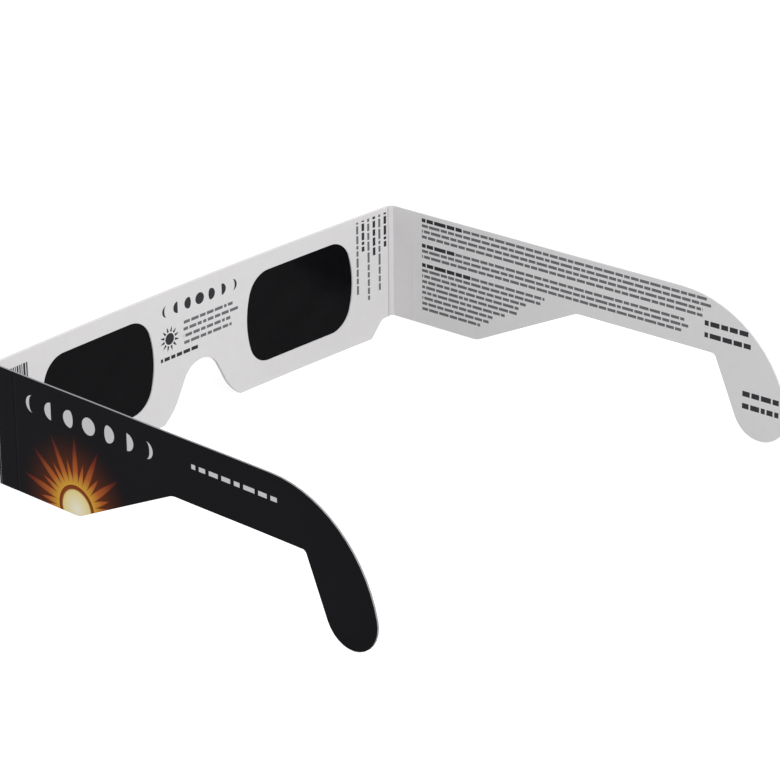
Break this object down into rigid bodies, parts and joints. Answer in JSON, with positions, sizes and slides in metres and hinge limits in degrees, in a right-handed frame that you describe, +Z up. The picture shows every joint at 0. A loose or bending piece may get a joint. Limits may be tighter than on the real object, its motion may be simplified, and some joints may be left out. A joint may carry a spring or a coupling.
{
  "type": "eclipse glasses",
  "caption": "Folding card eclipse glasses: a bowed front with two black filter windows and a nose notch, and hooked card temples that fold flat.",
  "frame": {"origin": "centre of the footprint on the surface that the opened glasses stand on", "axes": "+Z up, the front faces -Y, the temples run to +Y, and +X is the wearer's left"},
  "size_m": [0.1576, 0.1332, 0.037],
  "materials": {
    "printed_board": "solid bleached board, black ink and gloss varnish outside, bare white inside",
    "white_board": "solid bleached board, smooth and uncoated",
    "filter_film": "opaque black polymer film, glossy",
    "glue": "dried dispersion glue"
  },
  "bodies": {
    "front": {"front_card": "printed_board", "glue_layer": "glue", "left_film": "filter_film", "right_film": "filter_film", "backing_card": "white_board"},
    "left_strip": {"left_fold_strip": "printed_board"},
    "right_strip": {"right_fold_strip": "printed_board"},
    "left_arm": {"left_temple": "printed_board"},
    "right_arm": {"right_temple": "printed_board"}
  },
  "joints": [
    {"name": "left_inner_crease", "type": "hinge", "parent": "front", "child": "left_strip", "pos_m": [0.07285, -0.0648, 0.02], "axis": [0, 0, 1], "range_deg": [-44, 45.7]},
    {"name": "left_fold", "type": "hinge", "parent": "left_strip", "child": "left_arm", "pos_m": [0.074, -0.06368, 0.02], "axis": [0, 0, 1], "range_deg": [-44, 45.7]},
    {"name": "right_inner_crease", "type": "hinge", "parent": "front", "child": "right_strip", "pos_m": [-0.07285, -0.0648, 0.02], "axis": [0, 0, -1], "range_deg": [-44, 46.2]},
    {"name": "right_fold", "type": "hinge", "parent": "right_strip", "child": "right_arm", "pos_m": [-0.074, -0.06368, 0.02], "axis": [0, 0, -1], "range_deg": [-44, 46.2]}
  ],
  "couplings": [
    {"joint": "left_inner_crease", "follows": "left_fold", "ratio": 1},
    {"joint": "right_inner_crease", "follows": "right_fold", "ratio": 1}
  ]
}
